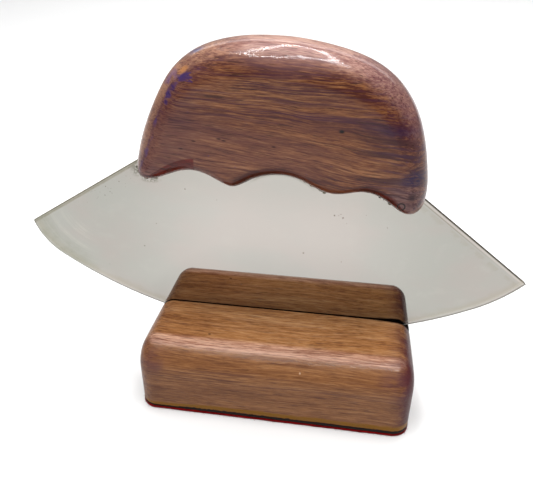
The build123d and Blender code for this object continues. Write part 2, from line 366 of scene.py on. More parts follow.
    # glue bubble on the right-hand lobe
    du, dw = g.math("SUBTRACT", u, 42.6), g.math("SUBTRACT", w, 28.9)
    rad = g.math("SQRT", g.add(g.mul(du, du), g.mul(dw, dw)))
    ring = g.mul(g.step(rad, 0.75, 1.0), g.step(rad, 1.45, 1.2))
    front = g.step(y, -6.0, -7.0)
    wood = g.mix(g.mul(ring, front, 0.95), wood, lin(16, 6, 8))
    g.put(g.bsdf.inputs["Base Color"], wood)
    # lacquer: glossy, with the grain and a slight orange peel telegraphing through
    peel = g.noise(g.scaled((u, y, w), 1.15, 1.15, 1.15), 1.0, 1.0, 0.5)
    swell = g.noise(g.scaled((u, y, w), 0.20, 0.20, 0.20), 1.0, 1.0)
    grit = g.noise(g.scaled((u, y, w), 3.0, 3.0, 3.0), 1.0, 1.0, 0.5)
    grainy = g.noise(g.scaled(p, 0.7, 4.0, 6.0), 1.0, 3.0, 0.6)
    h = g.add(
        g.mul(swell, 0.20), g.mul(peel, 0.11), g.mul(grit, 0.035), g.mul(knot, -0.1), g.mul(pores, -0.1),
        g.mul(ring, front, 0.3),
    )
    g.put(g.bsdf.inputs["Normal"], g.bump(g.add(g.mul(h, 0.4), g.mul(grainy, 0.08), g.mul(dark, -0.15)), 0.45, 0.4))
    g.put(g.bsdf.inputs["Coat Normal"], g.bump(h, 0.50, 0.5))
    g.put(g.bsdf.inputs["Roughness"], g.step(grainy, 0.3, 0.7, 0.34, 0.46))
    g.bsdf.inputs["IOR"].default_value = 1.45
    g.bsdf.inputs["Specular IOR Level"].default_value = 0.10
    g.bsdf.inputs["Coat Weight"].default_value = 0.52
    g.bsdf.inputs["Coat Roughness"].default_value = 0.06
    g.bsdf.inputs["Coat IOR"].default_value = 1.45
    return g


# ------------------------------------------------------------------ rest: oiled wood
def stand_material():
    g = Graph("stand_wood")
    x, y, z = g.coords()
    wander = g.noise(g.scaled((x, y, z), 0.018, 0.03, 0.03, (1.0, 2.0, 3.0)), 1.0, 2.0)
    wv = g.mul(g.math("SUBTRACT", wander, 0.5), 3.6)
    p = (x, g.add(y, wv), g.add(z, g.mul(x, -0.010), wv))
    broad = g.noise(g.scaled(p, 0.009, 0.09, 0.15, (2.0, 0.0, 0.0)), 1.0, 3.0, 0.5)
    streak = g.noise(g.scaled(p, 0.028, 0.42, 0.60, (5.0, 3.0, 1.0)), 1.0, 4.0, 0.6)
    fine = g.noise(g.scaled(p, 0.11, 1.7, 1.9, (4.0, 1.0, 8.0)), 1.0, 3.0, 0.66)
    fibre = g.noise(g.scaled(p, 0.28, 3.0, 3.3, (9.0, 3.0, 2.0)), 1.0, 3.0, 0.7)
    tone = g.add(
        g.mul(broad, 0.24), g.mul(streak, 0.26), g.mul(fine, 0.34), g.mul(fibre, 0.30), -0.07
    )
    wood = g.ramp(
        tone,
        [
            (0.37, lin(94, 54, 32)),
            (0.44, lin(116, 74, 45)),
            (0.50, lin(133, 88, 54)),
            (0.56, lin(146, 100, 63)),
            (0.64, lin(162, 117, 77)),
        ],
    )
    # the top is more golden than the faces, with painted light from above making it brighter
    upright = g.step(y, -25.0, -22.0)
    upright = g.mul(upright, g.step(y, 25.0, 22.0), g.step(z, 22.0, 25.0))
    lit_top_gold = g.ramp(
        tone,
        [
            (0.37, lin(113, 66, 34)),
            (0.44, lin(148, 97, 55)),
            (0.50, lin(172, 119, 73)),
            (0.56, lin(188, 138, 92)),
            (0.64, lin(205, 160, 117)),
        ],
    )
    wood = g.mix(g.mul(upright, 0.9), wood, lit_top_gold)
    # painted highlight along the edge between them
    edge_highlight = g.mul(
        g.step(z, 25.0, 25.9), g.math("MAXIMUM", g.step(y, -20.0, -22.6), g.step(y, 20.0, 22.6))
    )
    wood = g.mix(g.mul(edge_highlight, 0.62), wood, g.mix(g.step(tone, 0.42, 0.58), lin(156, 106, 88), lin(228, 184, 162)))
    # short dark pores and fibres
    dash = g.noise(g.scaled(p, 0.16, 2.2, 2.6, (3.0, 7.0, 1.0)), 1.0, 1.5)
    dashes = g.step(dash, 0.585, 0.68)
    wood = g.mix(g.mul(dashes, 0.50), wood, lin(72, 38, 28))
    # longer dark lines, thickest just under the front edge
    line = g.noise(g.scaled(p, 0.022, 0.9, 1.5, (6.0, 2.0, 4.0)), 1.0, 3.0, 0.6)
    band = g.mul(g.step(z, 13.0, 16.5), g.step(z, 22.5, 19.0), g.math("SUBTRACT", 1.0, upright))
    wood = g.mix(
        g.mul(g.step(line, 0.52, 0.62), g.math("MULTIPLY_ADD", band, 0.34, 0.22)), wood, lin(76, 42, 40)
    )
    # purple stain gathered towards the ends and corners
    smear = g.noise(g.scaled(p, 0.10, 0.25, 0.25, (1.0, 4.0, 7.0)), 1.0, 4.0, 0.6)
    ends = g.step(g.math("ABSOLUTE", x), 38.0, 47.0)
    stain = g.mul(ends, g.step(smear, 0.36, 0.60, 0.25, 1.0))
    wood = g.mix(g.mul(stain, g.step(x, -10.0, 10.0, 0.38, 0.72)), wood, lin(70, 34, 40))
    nx = g.split(g.node("ShaderNodeNewGeometry").outputs["Normal"])[0]
    flat = g.step(g.math("ABSOLUTE", nx), 0.90, 0.985)
    deep = g.add(z, 42.0)
    arch = g.math("SQRT", g.add(g.mul(y, y, 0.35), g.mul(deep, deep)))
    rings = g.noise(g.combine(g.mul(arch, 0.62), g.mul(y, 0.02), g.mul(wander, 3.0)), 1.0, 3.0, 0.6)
    holes = g.voronoi(g.scaled((x, y, z), 0.2, 1.5, 1.5, (2.0, 4.0, 6.0)), 1.0)
    endgrain = g.mix(g.step(rings, 0.38, 0.62), lin(74, 42, 28), lin(122, 82, 54))
    endgrain = g.mix(g.step(holes, 0.26, 0.14, 0.0, 0.7), endgrain, lin(46, 24, 18))
    wood = g.mix(g.mul(flat, 0.92), wood, endgrain)
    rim = g.math("MAXIMUM", g.mul(g.step(nx, -0.82, -0.93), g.step(nx, -0.995, -0.96, 0.25, 1.0)), g.mul(g.step(g.add(nx, g.mul(g.math("SUBTRACT", smear, 0.5), 0.5)), 0.35, 0.75), g.step(nx, 0.995, 0.95, 0.30, 1.0)))
    wood = g.mix(g.mul(rim, 0.90), wood, lin(58, 20, 26))
    ashen = g.mul(g.step(y, -24.0, -29.0), g.step(z, 21.0, 15.0))
    wood = g.mix(g.mul(ashen, 0.08), wood, lin(124, 96, 84))
    ruddy = g.mul(g.step(x, 41.0, 46.0), g.step(smear, 0.32, 0.56, 0.4, 1.0))
    wood = g.mix(g.mul(ruddy, 0.60), wood, lin(78, 24, 24))
    patch = g.math("MAXIMUM", g.near(x, z, 42.0, 21.0, 1.0, 9.0, 1.0, 1.2), g.near(x, z, -41.0, 21.0, 1.0, 7.0, 1.0, 1.2))
    wood = g.mix(g.mul(patch, g.step(smear, 0.34, 0.56), 0.5), wood, lin(84, 50, 62))
    # ochre band of dried finish along the foot, wider to the right
    foot = g.add(
        z,
        g.mul(g.math("SUBTRACT", g.noise(g.scaled((x, y, z), 0.09, 0.09, 0.3), 1.0, 4.0, 0.6), 0.5), 2.0),
        g.step(x, -46.0, -14.0, 1.2, 0.0),
    )
    ochre = g.step(foot, 4.8, 3.7)
    wood = g.mix(g.mul(ochre, g.step(smear, 0.30, 0.55, 0.82, 1.0)), wood, lin(128, 84, 12))
    crumb = g.noise(g.scaled((x, y, z), 0.7, 0.7, 0.9, (3.0, 3.0, 3.0)), 1.0, 3.0, 0.6)
    # dark adhesive smeared up the foot, with painted shade in the gap just above the felt
    adhesive_and_shade = g.step(g.add(z, g.mul(g.math("SUBTRACT", crumb, 0.5), -1.6), g.step(x, -38.0, -28.0, 0.75, 0.0)), 2.55, 2.15)
    wood = g.mix(g.mul(adhesive_and_shade, 0.97), wood, lin(20, 7, 5))
    # slot walls: painted shade inside the slot
    up = g.split(g.node("ShaderNodeNewGeometry").outputs["Normal"])[2]
    wall = g.math("MAXIMUM", g.step(up, 0.7, 0.4), g.step(z, 24.0, 22.0))
    cut = g.step(z, 15.4, 16.3)
    inside = g.mul(g.step(g.math("ABSOLUTE", y), 3.0, 2.6), wall, cut)
    wood = g.mix(g.mul(inside, 0.85), wood, lin(30, 15, 10))
    # darker about the slot towards its right-hand end
    slot_end_dark = g.mul(g.step(x, 33.0, 44.0), g.step(g.add(g.math("ABSOLUTE", y), g.mul(crumb, 0.8)), 2.9, 2.3), cut)
    wood = g.mix(g.mul(slot_end_dark, 0.8), wood, lin(24, 12, 10))
    # pale nick on the front, dark fleck on the top
    nick = g.mul(g.near(x, z, 9.7, 22.4, 0.12, 0.42), g.step(y, -20.0, -24.0))
    wood = g.mix(g.mul(nick, 0.8), wood, lin(214, 178, 148))
    fleck = g.mul(g.near(x, y, -24.0, -19.1, 0.2, 0.65, 0.8, 1.2), g.step(z, 20.0, 24.0))
    wood = g.mix(g.mul(fleck, 0.85), wood, lin(40, 20, 16))
    g.put(g.bsdf.inputs["Base Color"], wood)
    grain = g.noise(g.scaled(p, 0.45, 2.6, 3.4), 1.0, 4.0, 0.65)
    peel = g.noise(g.scaled((x, y, z), 1.3, 1.3, 1.3), 1.0, 2.0)
    h = g.add(
        g.mul(grain, 0.40), g.mul(peel, 0.14), g.mul(dashes, -0.35), g.mul(fine, 0.20), g.mul(nick, -1.2)
    )
    g.put(g.bsdf.inputs["Normal"], g.bump(h, 0.60, 0.40))
    facets = g.noise(g.scaled((x, y, z), 1.2, 1.7, 1.7, (2.0, 5.0, 1.0)), 1.0, 1.0, 0.5)
    g.put(g.bsdf.inputs["Coat Normal"], g.bump(g.add(facets, g.mul(grain, 0.30)), 0.80, 0.11))
    g.put(g.bsdf.inputs["Roughness"], g.step(grain, 0.3, 0.7, 0.36, 0.48))
    g.bsdf.inputs["IOR"].default_value = 1.45
    g.bsdf.inputs["Specular IOR Level"].default_value = 0.08
    g.bsdf.inputs["Coat Weight"].default_value = 0.24
    g.bsdf.inputs["Coat Roughness"].default_value = 0.12
    g.bsdf.inputs["Coat IOR"].default_value = 1.45
    return g


# ------------------------------------------------------------------ blade: polished sheet steel
def blade_material():
    g = Graph("blade_steel")
    u, y, w = g.coords(knife=True)
    xyz = (u, y, w)
    smear = g.noise(g.scaled(xyz, 0.03, 0.03, 0.05, (2.0, 1.0, 4.0)), 1.0, 3.0, 0.5)
    cloud = g.noise(g.scaled(xyz, 0.12, 0.1, 0.16, (5.0, 2.0, 3.0)), 1.0, 4.0, 0.6)
    # painted reflection: the steel is brighter in the middle than towards the tips
    middle = g.step(g.math("ABSOLUTE", g.math("SUBTRACT", u, 2.0)), 14.0, 66.0, 1.0, 0.0)
    steel = g.mix(middle, (0.372, 0.345, 0.318, 1), (0.465, 0.430, 0.400, 1))
    tint = g.step(smear, 0.38, 0.62)
    steel = g.mix(g.mul(tint, 0.70), steel, g.mix(middle, (0.352, 0.360, 0.328, 1), (0.438, 0.430, 0.400, 1)))
    steel = g.mix(g.step(cloud, 0.50, 0.75, 0.0, 0.12), steel, (0.50, 0.48, 0.44, 1))
    # painted shade on the steel under the grip, and a dark grey arc just below the middle groove
    grip_shade = g.mul(g.step(w, 12.0, 27.0), g.step(g.math("ABSOLUTE", u), 60.0, 40.0))
    steel = g.mix(g.mul(grip_shade, 0.16), steel, (0.30, 0.275, 0.24, 1))
    su, sw = g.math("SUBTRACT", u, 3.89), g.math("SUBTRACT", w, 13.56)
    away = g.math("SUBTRACT", g.math("SQRT", g.add(g.mul(su, su), g.mul(sw, sw))), 17.0)
    groove_arc = g.mul(g.step(g.math("ABSOLUTE", g.math("SUBTRACT", away, -0.15)), 0.95, 0.25), g.step(w, 25.0, 28.0))
    groove_arc = g.mul(groove_arc, g.step(u, -9.0, -4.0), g.step(cloud, 0.30, 0.50, 0.5, 1.0))
    steel = g.mix(g.mul(groove_arc, 0.55), steel, (0.245, 0.24, 0.205, 1))
    # distance inside the cutting circle and below the spines
    du, dw = g.math("SUBTRACT", u, -0.06), g.math("SUBTRACT", w, 112.99)
    inside = g.math("SUBTRACT", 148.01, g.math("SQRT", g.add(g.mul(du, du), g.mul(dw, dw))))
    for cu, cw, cr, beyond in ((47.73, 33.21, 55.01, g.step(u, 75.9, 76.1)), (-66.39, 7.79, 23.65, g.step(u, -78.9, -79.1))):
        tu, tw = g.math("SUBTRACT", u, cu), g.math("SUBTRACT", w, cw)
        tip = g.math("SUBTRACT", cr, g.math("SQRT", g.add(g.mul(tu, tu), g.mul(tw, tw))))
        inside = g.add(g.mul(inside, g.math("SUBTRACT", 1.0, beyond)), g.mul(tip, beyond))
    left = g.mul(g.math("SUBTRACT", g.add(g.mul(u, 0.6774), 61.34), w), 0.8279)
    right = g.mul(g.math("SUBTRACT", g.add(g.mul(u, -0.7007), 62.93), w), 0.8190)
    spine = g.math("MINIMUM", left, right)
    leftside, rightside = g.step(u, 0.0, -20.0), g.step(u, 0.0, 20.0)
    waver = g.mul(g.math("SUBTRACT", g.noise(g.scaled(xyz, 0.22, 0.1, 0.22, (3.0, 0.0, 1.0)), 1.0, 3.0), 0.5), 0.7)
    # olive heat tint with a paler seam along the left spine
    olive = g.mul(g.step(g.add(left, g.mul(waver, 0.6)), 1.5, 0.8), leftside)
    steel = g.mix(g.mul(olive, 0.42), steel, (0.250, 0.225, 0.155, 1))
    seam = g.mul(g.step(left, 0.45, 0.60), g.step(left, 1.05, 0.80), leftside, g.step(cloud, 0.36, 0.56, 0.2, 1.0))
    steel = g.mix(g.mul(seam, 0.40), steel, (0.200, 0.180, 0.120, 1))
    # dark saw-cut rim on the spines, thickest on the right near the grip
    faceside = g.step(g.math("ABSOLUTE", y), 0.70, 0.735)
    rim = g.step(spine, 0.30, 0.12)
    top = g.mul(g.step(spine, 0.06, 0.0), g.math("SUBTRACT", 1.0, faceside))
    steel = g.mix(g.mul(rim, rightside, 0.85), steel, (0.095, 0.075, 0.055, 1))
    steel = g.mix(g.mul(rim, leftside, 0.70), steel, (0.14, 0.12, 0.080, 1))
    steel = g.mix(g.mul(top, rightside), steel, (0.066, 0.050, 0.038, 1))
    steel = g.mix(g.mul(top, leftside), steel, (0.22, 0.20, 0.14, 1))
    # brighter band just inside the right spine, blotched
    band = g.mul(g.step(right, 0.35, 0.5), g.step(right, 1.05, 0.85), rightside)
    steel = g.mix(g.mul(band, 0.45), steel, (0.56, 0.50, 0.45, 1))
    scribe = g.mul(g.step(right, 0.95, 1.12), g.step(right, 1.50, 1.30), rightside, g.step(cloud, 0.36, 0.52, 0.15, 1.0))
    steel = g.mix(g.mul(scribe, g.step(u, 84.0, 60.0), 0.50), steel, (0.20, 0.165, 0.12, 1))
    stain = g.mul(g.step(right, 1.6, 2.2), g.step(right, 4.6, 2.6), rightside, g.step(cloud, 0.46, 0.56))
    steel = g.mix(g.mul(stain, 0.30), steel, (0.30, 0.275, 0.22, 1))
    # ground edge: a pale band, and a painted dark reflection along the bevel at the very edge
    grind = g.mul(g.step(inside, 2.6, 2.0), g.step(inside, 0.95, 1.25))
    steel = g.mix(g.mul(grind, 0.30), steel, (0.54, 0.51, 0.46, 1))
    bevel_reflection = g.step(inside, 1.15, 0.85)
    steel = g.mix(g.mul(bevel_reflection, 0.88), steel, (0.105, 0.098, 0.076, 1))
    brown = g.mul(g.step(g.add(inside, g.mul(waver, 2.0)), 1.3, 2.0), g.step(g.add(inside, g.mul(cloud, 5.0)), 7.4, 4.4))
    steel = g.mix(g.mul(brown, 0.36), steel, (0.33, 0.295, 0.225, 1))
    # curved polishing haze by the left tip
    hu, hw = g.math("SUBTRACT", u, -58.0), g.math("SUBTRACT", w, 14.0)
    arcs = g.noise(
        g.combine(g.mul(g.math("SQRT", g.add(g.mul(hu, hu), g.mul(hw, hw))), 0.55), g.mul(u, 0.02), 2.0), 1.0, 3.0, 0.6
    )
    hazy = g.mul(g.step(u, -62.0, -74.0), g.step(w, 10.0, -2.0), g.step(arcs, 0.44, 0.64), g.step(cloud, 0.38, 0.58, 0.35, 1.0))
    steel = g.mix(g.mul(hazy, 0.42), steel, (0.49, 0.475, 0.42, 1))
    greyed = g.mul(g.step(inside, 11.0, 2.0), g.step(u, -62.0, -76.0))
    steel = g.mix(g.mul(greyed, g.step(cloud, 0.36, 0.60, 0.35, 1.0), 0.60), steel, (0.235, 0.235, 0.180, 1))
    # rust pinpricks below the left spine, fewer elsewhere
    cells = g.voronoi(g.scaled(xyz, 0.50, 0.3, 0.50, (1.0, 1.0, 1.0)), 1.0)
    many = g.mul(g.step(left, 9.0, 3.0), g.step(u, -44.0, -50.0), g.step(u, -74.0, -62.0), g.step(cells, 0.13, 0.07), 0.5)
    few = g.mul(
        g.step(g.voronoi(g.scaled(xyz, 0.13, 0.3, 0.13, (4.0, 1.0, 2.0)), 1.0), 0.055, 0.035), 0.7
    )
    # spots left under the grip's right half and by its left lobe
    near_grip = None
    for pu, pw, pr in (
        (22.84, 17.46, 0.42), (25.80, 16.89, 0.45), (24.97, 18.12, 0.26), (24.3, 17.6, 0.22), (-29.5, 21.12, 0.34),
        (41.08, 15.03, 0.24), (27.3, 14.9, 0.18), (33.4, 18.9, 0.18), (-18.2, 18.3, 0.18),
        (-53.42, 21.20, 0.30), (-58.60, 18.67, 0.30), (-59.16, 15.23, 0.28), (-57.14, 16.82, 0.24), (-57.76, 18.15, 0.18), (-61.91, 14.11, 0.18), (-56.44, 16.35, 0.20), (-60.94, 16.20, 0.16), (-50.66, 23.58, 0.18), (-62.78, 16.57, 0.16),
    ):
        one = g.near(u, w, pu, pw, pr * 0.2, pr * 0.9, 1.0, 0.8)
        near_grip = one if near_grip is None else g.math("MAXIMUM", near_grip, one)
    pits = g.math("MAXIMUM", g.math("MAXIMUM", many, few), near_grip)
    steel = g.mix(g.mul(pits, 0.66), steel, (0.10, 0.075, 0.05, 1))
    crust = g.math("MAXIMUM", g.near(u, w, -46.4, 26.6, 0.8, 3.2, 1.0, 0.9), g.near(u, w, -42.0, 23.6, 0.6, 2.4, 0.5, 1.2))
    crusty = g.noise(g.scaled(xyz, 1.1, 1.0, 1.1, (2.0, 2.0, 8.0)), 1.0, 4.0, 0.65)
    crust = g.mul(crust, g.step(crusty, 0.42, 0.56))
    steel = g.mix(g.mul(crust, 0.70), steel, (0.17, 0.165, 0.13, 1))
    g.put(g.bsdf.inputs["Base Color"], steel)
    g.bsdf.inputs["Metallic"].default_value = 1.0
    hair = g.noise(g.scaled(xyz, 0.25, 1.0, 14.0, (1.0, 0.0, 0.0)), 1.0, 3.0, 0.7)
    rough = g.add(
        g.step(smear, 0.3, 0.7, 0.020, 0.032),
        g.mul(g.step(hair, 0.35, 0.75), 0.012),
        g.mul(olive, 0.28), g.mul(rim, 0.3), g.mul(top, 0.4), g.mul(pits, 0.3), g.mul(crust, 0.3),
        g.mul(grind, 0.10), g.mul(bevel_reflection, 0.3), g.mul(brown, 0.06), g.mul(hazy, 0.08),
    )
    g.put(g.bsdf.inputs["Roughness"], rough)
    wave = g.noise(g.scaled(xyz, 0.02, 0.02, 0.03), 1.0, 1.0)
    h = g.add(g.mul(hair, 0.010), g.mul(wave, 0.35), g.mul(pits, -0.25), g.mul(crust, 0.15))
    g.put(g.bsdf.inputs["Normal"], g.bump(h, 0.15, 0.15))
    return g


# ------------------------------------------------------------------ resin, felt and film
def resin_material():
    g = Graph("epoxy")
    u, y, w = g.coords(knife=True)
    n = g.noise(g.scaled((u, y, w), 0.9, 0.9, 0.9), 1.0, 4.0, 0.6)
    c = g.ramp(n, [(0.32, lin(34, 26, 20)), (0.50, lin(96, 90, 70)), (0.70, lin(146, 142, 122))])
    g.put(g.bsdf.inputs["Base Color"], c)
    g.put(g.bsdf.inputs["Roughness"], g.step(n, 0.3, 0.7, 0.18, 0.5))
    g.bsdf.inputs["IOR"].default_value = 1.53
    g.bsdf.inputs["Coat Weight"].default_value = 0.4
    g.put(g.bsdf.inputs["Normal"], g.bump(g.noise(g.scaled((u, y, w), 2.4, 2.4, 2.4), 1.0, 3.0), 0.6, 0.2))
    return g


def film_material():
    g = Graph("felt_adhesive")
    x, y, z = g.coords()
    n = g.noise(g.scaled((x, y, z), 0.5, 0.5, 2.0), 1.0, 4.0, 0.6)
    c = g.ramp(n, [(0.3, lin(12, 5, 5)), (0.55, lin(28, 11, 9)), (0.75, lin(56, 30, 16))])
    g.put(g.bsdf.inputs["Base Color"], c)
    g.put(g.bsdf.inputs["Roughness"], g.step(n, 0.3, 0.7, 0.40, 0.7))
    g.bsdf.inputs["Specular IOR Level"].default_value = 0.12
    g.put(g.bsdf.inputs["Normal"], g.bump(n, 0.5, 0.15))
    return g


def felt_material():
    g = Graph("red_felt")
    x, y, z = g.coords()
    v = g.scaled((x, y, z), 1.0, 1.0, 1.0)
    fibres = g.noise(g.scaled((x, y, z), 4.0, 1.1, 3.0, (1.0, 1.0, 1.0)), 1.0, 4.0, 0.7, 1.2)
    cross = g.noise(g.scaled((x, y, z), 1.0, 4.2, 3.0, (5.0, 1.0, 2.0)), 1.0, 4.0, 0.7, 1.2)
    f = g.math("MAXIMUM", fibres, cross)
    worn = g.noise(v, 0.12, 3.0, 0.6)
    c = g.ramp(f, [(0.42, lin(70, 2, 4)), (0.58, lin(134, 5, 8)), (0.76, lin(196, 20, 24))])
    c = g.mix(g.step(worn, 0.5, 0.7, 0.0, 0.3), c, lin(110, 20, 24))
    g.put(g.bsdf.inputs["Base Color"], c)
    g.bsdf.inputs["Roughness"].default_value = 0.95
    g.bsdf.inputs["Specular IOR Level"].default_value = 0.12
    g.bsdf.inputs["Sheen Weight"].default_value = 0.12
    g.bsdf.inputs["Sheen Roughness"].default_value = 0.5
    g.bsdf.inputs["Sheen Tint"].default_value = (1.0, 0.35, 0.35, 1.0)
    g.put(g.bsdf.inputs["Normal"], g.bump(f, 0.9, 0.25))
    return g


grip_mat, stand_mat, blade_mat = grip_material(), stand_material(), blade_material()
resin_mat, film_mat, felt_mat = resin_material(), film_material(), felt_material()
show("grip", grip_mat)
show("stand_block", stand_mat)
show("blade", blade_mat)
show("grip_glue", resin_mat)
show("felt_glue", film_mat)
show("felt_pad", felt_mat)


# ------------------------------------------------------------------ felt with its cut, fuzzy rim
def ring_points(half_x, half_y, radius, step):
    """Points round a rounded rectangle, with their outward directions."""
    pts = []
    for cx, cy, a0 in ((1, -1, -90), (1, 1, 0), (-1, 1, 90), (-1, -1, 180)):
        for k in range(9):
            a = math.radians(a0 + 10 * k + 5)
            pts.append(
                (cx * (half_x - radius) + radius * math.cos(a), cy * (half_y - radius) + radius * math.sin(a))
            )
    pts.append(pts[0])
    dense = []
    for p, q in zip(pts, pts[1:]):
        d = math.dist(p, q)
        n = max(1, round(d / step))
        for k in range(n):
            dense.append((p[0] + (q[0] - p[0]) * k / n, p[1] + (q[1] - p[1]) * k / n))
    out = []
    for i, p in enumerate(dense):
        q, r = dense[i - 1], dense[(i + 1) % len(dense)]
        t = Vector((r[0] - q[0], r[1] - q[1], 0)).normalized()
        out.append((p, (t.y, -t.x)))
    return out


def wavy(rng, n, passes):
    """A smooth closed random row of n values, about -1 to 1."""
    v = np.array([rng.uniform(-1, 1) for _ in range(n)])
    for _ in range(passes):
        v = (np.roll(v, 1) + 2 * v + np.roll(v, -1)) / 4
    return v / max(1e-9, np.abs(v).max())


def mesh_object(name, verts, faces, mat, body, smooth=True):
    me = bpy.data.meshes.new(name)
    me.from_pydata(verts, [], faces)
    me.update()
    me.materials.append(mat)
    for poly in me.polygons:
        poly.use_smooth = smooth
    ob = bpy.data.objects.new(name, me)
    bpy.context.collection.objects.link(ob)
    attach(ob, body)
    return ob


def felt():
    rng = random.Random(4)
    ring = ring_points(0.04820, 0.03170, 0.0060, 0.0005)
    n = len(ring)
    coarse, fine = wavy(rng, n, 30), wavy(rng, n, 2)
    levels = [  # height, inset from the cut line
        (0.00002, 0.00045), (0.00005, 0.00012), (0.00022, 0.0), (0.00045, -0.00004),
        (0.00068, 0.00000), (0.00088, 0.00010), (0.00098, 0.00040),
    ]
    verts, faces = [], []
    for j, (z, inset) in enumerate(levels):
        own = wavy(rng, n, 1)
        for i, ((px, py), (nx, ny)) in enumerate(ring):
            off = -inset + 0.00008 * coarse[i] + 0.00005 * fine[i] + 0.00005 * own[i]
            zz = z + (0.00003 * own[i - 3] if 0 < j < len(levels) - 1 else 0.0)
            verts.append((px + nx * off, py + ny * off, zz))
    for j in range(len(levels) - 1):
        for i in range(n):
            k = (i + 1) % n
            faces.append((j * n + i, j * n + k, (j + 1) * n + k, (j + 1) * n + i))
    # inner rings close the two faces
    for j, z in ((0, 0.00002), (len(levels) - 1, 0.00098)):
        base = j * n
        for scale in (0.97, 0.85, 0.60, 0.30):
            start = len(verts)
            for i, ((px, py), _) in enumerate(ring):
                verts.append((px * scale, py * scale, z))
            for i in range(n):
                k = (i + 1) % n
                f = (base + i, start + i, start + k, base + k)
                faces.append(f if j == 0 else f[::-1])
            base = start
        c = len(verts)
        verts.append((0.0, 0.0, z))
        for i in range(n):
            k = (i + 1) % n
            f = (base + i, c, base + k)
            faces.append(f if j == 0 else f[::-1])
    pad = mesh_object("felt", verts, faces, felt_mat.mat, "stand")
    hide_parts("felt_pad")
    # loose fibres standing out of the cut rim
    verts, faces = [], []
    tufts = wavy(rng, n, 8)
    for i, ((px, py), (nx, ny)) in enumerate(ring):
        for _ in range(3 if tufts[i] > 0.35 else 2):
            long = 0.00025 + 0.00060 * rng.random() ** 2.5 + (0.0005 * rng.random() ** 4 if tufts[i] > 0.5 else 0.0)
            z0 = rng.uniform(0.00010, 0.00085)
            tx, ty = -ny, nx
            side, lift = rng.uniform(-0.9, 0.9), rng.uniform(-0.5, 0.5)
            s0 = rng.uniform(-0.00025, 0.00025)
            curl = rng.uniform(-0.8, 0.8)
            base, w = len(verts), rng.uniform(0.000022, 0.000042)
            for k in range(4):
                t = k / 3
                out = -0.00008 + long * t
                along = s0 + long * (side * t + curl * t * t * 0.6)
                z = min(0.00112, max(0.00004, z0 + long * lift * t))
                cx, cy = px + nx * out + tx * along, py + ny * out + ty * along
                ww = w * (1 - 0.6 * t)
                a = 0.8 if k % 2 else -0.8
                verts.append((cx + tx * ww, cy + ty * ww, z + ww * a))
                verts.append((cx - tx * ww, cy - ty * ww, z - ww * a))
            for k in range(3):
                b = base + 2 * k
                faces.append((b, b + 1, b + 3, b + 2))
    fuzz = mesh_object("felt_fuzz", verts, faces, felt_mat.mat, "stand")


def squeeze_out():
    """Dark adhesive that has crept out between the felt and the wood and up the foot."""
    rng = random.Random(11)
    ring = ring_points(0.04815, 0.03160, 0.0060, 0.0006)
    n = len(ring)
    slow, quick, own = wavy(rng, n, 60), wavy(rng, n, 4), wavy(rng, n, 1)
    verts, faces = [], []
    for i, ((px, py), (nx, ny)) in enumerate(ring):
        rise = 0.00060 + 0.00014 * slow[i] + 0.00011 * quick[i] + 0.00005 * own[i]
        if ny < -0.7:  # along the front it is thin on the left and thick past the middle
            rise += 0.00034 * min(1.0, max(-1.4, (px + 0.026) / 0.012))
        rise = max(0.00006, rise)
        out = 0.00003 * quick[i - 7] + 0.00002 * own[i - 5]
        section = [  # height, stand-off from the wood's face
            (0.00104, -0.00060), (0.00106, -0.00008), (0.00122, 0.00003 + out), (0.00138, 0.00007 + out),
            (0.00138 + 0.6 * rise, 0.00008 + out), (0.00138 + 0.92 * rise, 0.00006 + 0.5 * out),
            (0.00144 + rise, -0.00004), (0.00138 + 0.6 * rise, -0.00040), (0.00130, -0.00080),
        ]
        m = len(section)
        for z, off in section:
            verts.append((px + nx * off, py + ny * off, z))
    for i in range(n):
        j = (i + 1) % n
        for k in range(m):
            l = (k + 1) % m
            faces.append((i * m + k, j * m + k, j * m + l, i * m + l))
    ob = mesh_object("felt_glue_bead", verts, faces, film_mat.mat, "stand")


